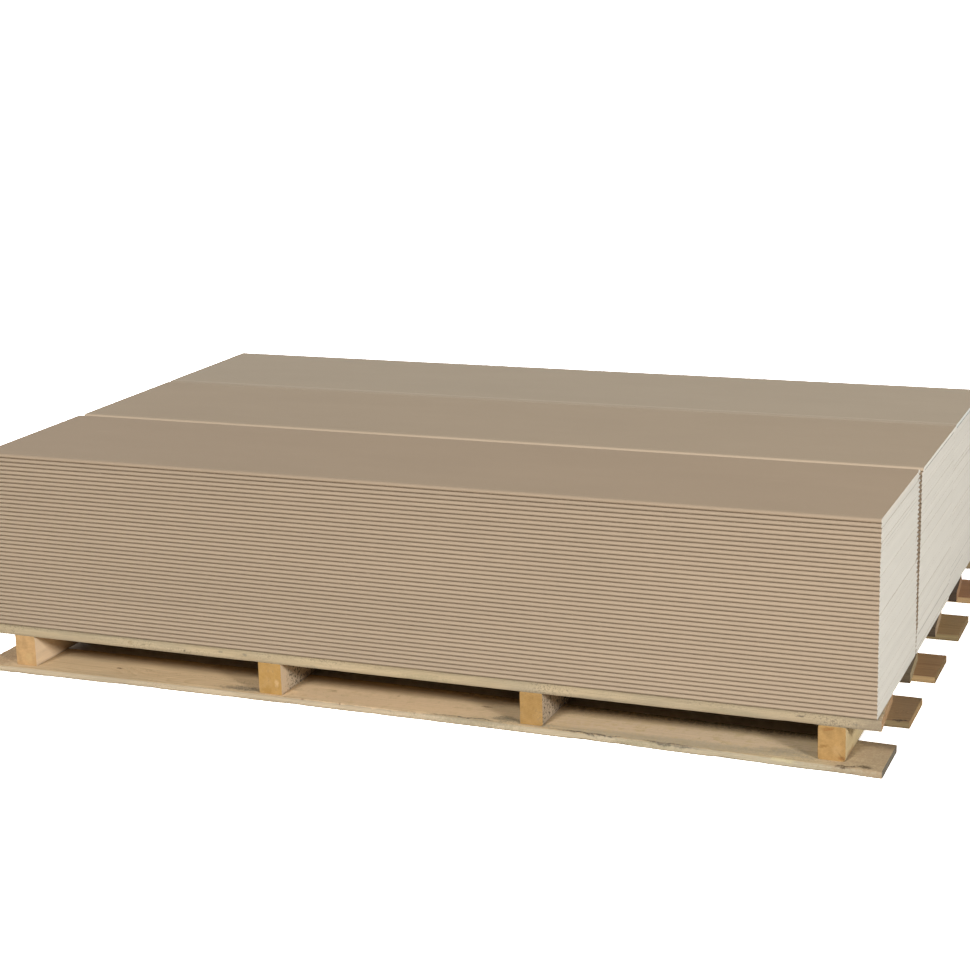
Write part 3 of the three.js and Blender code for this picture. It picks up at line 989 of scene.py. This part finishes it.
def timber_look(node, seed, along, ends):
    """What timber_material needs to know of one piece's sides, or of its ends: along is the
    piece's long axis, 0 or 1."""
    random = np.random.RandomState(seed)
    timber = TIMBERS[node]
    pith = random.uniform(-PITH_STRAY, PITH_STRAY, 3)
    pith[2] = random.uniform(*PITH_HEIGHT) * random.choice((-1, 1))
    early, late = timber["ends" if ends else "sides"]
    weather = END_WEATHER if ends else 1
    look = {
        "ends": ends,
        "along": along,
        "shift": tuple(-(pith + timber_frame(node)[0])),
        "early": early,
        "late": late,
        "grey": timber["grey"] * weather,
        "mould": timber["mould"] * weather,
        "streaks": timber["streaks"],
        "speck": timber.get("speck", SPECKS),
        "knots": random.uniform(*LONG_KNOT_CELLS),
        "ring": random.uniform(*RING_WIDTHS),
        "bend": END_BEND if ends else RING_BEND,
        "contrast": END_CONTRAST if ends else RING_CONTRAST,
        "top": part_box(node)[1][2],
        "marks": (END_MARKS if ends else SIDE_MARKS).get(node, ()),
    }
    if not ends:
        look.update({key: timber[key] for key in ("top_tint", "right_tint") if key in timber})
    return look


def add_timber():
    """The pallet's boards and stringers."""
    for kind, (count, first_seed, along) in TIMBER_KINDS.items():
        for index in range(count):
            node = f"{kind}_{index + 1}"
            seed = first_seed + index
            materials = [
                timber_material(f"{node}_{part}", timber_look(node, seed, along, part == "end"))
                for part in ("sawn", "end")
            ]
            piece = timber_piece(f"sawn_{node}", node, seed, materials)
            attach(piece, "root")
            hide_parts(node)


def add_nails():
    """Nail heads where a board crosses a stringer: on top of the deck and under the runners."""
    random = np.random.RandomState(NAIL_SEED)
    points, faces = [], []
    crossings = product(range(STRINGERS), range(BOARDS), (("deck_board", 1), ("bottom_board", -1)))
    for stringer, board, (kind, up) in crossings:
        stringer_x = timber_frame(f"stringer_{stringer + 1}")[0][0]
        centre, turn, (_, width, height), line = timber_frame(f"{kind}_{board + 1}")
        top = centre[2] + up * height / 2 + (NAIL_HEAD_PROUD if up > 0 else 0.0)
        for nail in range(NAILS_PER_CROSSING):
            part = (nail + 0.5) / NAILS_PER_CROSSING - 0.5
            stray_x, stray_y = (random.uniform(-stray, stray) for stray in NAIL_STRAY)
            x = stringer_x + stray_x
            y = centre[1] + part * width * NAIL_SPREAD + stray_y
            y += np.polyval(line, x - centre[0]) + math.tan(turn) * (x - centre[0])
            add_nail_head(points, faces, (x, y, top), up)
    piece = make_piece("nail_heads", points, faces, [0] * len(faces), [steel_material()], ())
    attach(piece, "root")


def add_nail_head(points, faces, place, up):
    """A flat head with a chamfered rim, sunk into the wood."""
    start = len(points)
    for share, depth in NAIL_HEAD_OUTLINE:
        for side in range(NAIL_SIDES):
            turn = 2 * math.pi * side / NAIL_SIDES
            reach = NAIL_HEAD_RADIUS * share
            x, y = place[0] + reach * math.cos(turn), place[1] + up * reach * math.sin(turn)
            points.append((x, y, place[2] - up * depth))
    faces.append(tuple(start + side for side in range(NAIL_SIDES)))
    for ring in range(len(NAIL_HEAD_OUTLINE) - 1):
        upper, lower = start + ring * NAIL_SIDES, start + (ring + 1) * NAIL_SIDES
        for side in range(NAIL_SIDES):
            after = (side + 1) % NAIL_SIDES
            faces.append((upper + side, lower + side, lower + after, upper + after))
    faces.append(tuple(lower + side for side in range(NAIL_SIDES - 1, -1, -1)))


# ---- studio


def seen_or_bounced(n, seen, bounced):
    """One shader for rays from the camera or a mirror-like surface, another for the rest."""
    path = n.add("ShaderNodeLightPath")
    share = path.outputs["Is Camera Ray"]
    for name in ("Is Glossy Ray", "Is Transmission Ray"):
        share = n.calc("MAXIMUM", share, path.outputs[name])
    mix = n.add("ShaderNodeMixShader")
    for socket, value in zip(mix.inputs, (share, bounced.outputs[0], seen.outputs[0])):
        n.put(socket, value)
    return mix


def add_world():
    """A white backdrop, and an even fill that is much weaker."""
    world = bpy.data.worlds.new("studio")
    bpy.context.scene.world = world
    n = Nodes(world)
    backdrop = n.add("ShaderNodeBackground", Color=WHITE, Strength=BACKDROP_STRENGTH)
    fill = n.add("ShaderNodeBackground", Color=WHITE, Strength=FILL_STRENGTH)
    n.show("ShaderNodeOutputWorld", seen_or_bounced(n, backdrop, fill))


def floor_colour(n):
    """White, with painted shade under the middle of the pallet."""
    shares = [
        n.span(n.calc("ABSOLUTE", n.axis(axis)), reach - inner, reach - outer, 1.0, 0.0)
        for axis, reach, (inner, outer) in zip("XY", cad_box[1], FLOOR_EDGES)
    ]
    return n.mix(n.calc("MULTIPLY", *shares), FLOOR_SEEN, FLOOR_SHADE_UNDER)


def add_floor():
    """A white floor that keeps the shadow, with painted shade under the pallet, where it also
    sends little light up.
    """
    half = FLOOR_SIZE / 2
    corners = [(-half, -half, 0), (half, -half, 0), (half, half, 0), (-half, half, 0)]
    n = Nodes(bpy.data.materials.new("floor_white"))
    shown = n.add("ShaderNodeBsdfDiffuse", Color=floor_colour(n))
    bounced = n.add("ShaderNodeBsdfDiffuse", Color=FLOOR_BOUNCE)
    n.show("ShaderNodeOutputMaterial", seen_or_bounced(n, shown, bounced))
    floor = make_piece("studio_floor", corners, [(0, 1, 2, 3)], [0], [n.owner], ())


def add_lamp(name, azimuth, elevation, angle, level, distance):
    """A sun, or a disc at a distance from the pallet that gives the same light there."""
    azimuth, elevation, angle = map(math.radians, (azimuth, elevation, angle))
    towards = Vector((
        math.sin(azimuth) * math.cos(elevation),
        -math.cos(azimuth) * math.cos(elevation),
        math.sin(elevation),
    ))
    lamp = bpy.data.lights.new(name, "AREA" if distance else "SUN")
    if distance:
        lamp.shape = "DISK"
        lamp.size = 2 * distance * math.tan(angle / 2)
        lamp.energy = (math.pi * distance) ** 2 * level
    else:
        lamp.angle = angle
        lamp.energy = math.pi * level
    light = bpy.data.objects.new(name, lamp)
    light.visible_camera = False
    light.rotation_euler = towards.to_track_quat("Z", "Y").to_euler()
    light.location = towards * (distance or SUN_PLACE)
    bpy.context.scene.collection.objects.link(light)


def add_camera():
    """The camera that took the photograph."""
    data = bpy.data.cameras.new("camera")
    data.sensor_width = SENSOR_WIDTH
    data.lens = FOCAL_PIXELS * SENSOR_WIDTH / LONG_SIDE
    data.clip_end = CLIP_END
    camera = bpy.data.objects.new("camera", data)
    camera.location = CAMERA_PLACE
    camera.rotation_euler = [math.radians(turn) for turn in CAMERA_TURN]
    bpy.context.scene.collection.objects.link(camera)
    bpy.context.scene.camera = camera


add_sheets()
add_timber()
add_nails()
add_world()
add_floor()
for lamp_name, lamp_settings in LAMPS.items():
    add_lamp(lamp_name, *lamp_settings)
add_camera()
bpy.context.scene.view_settings.view_transform = "Standard"
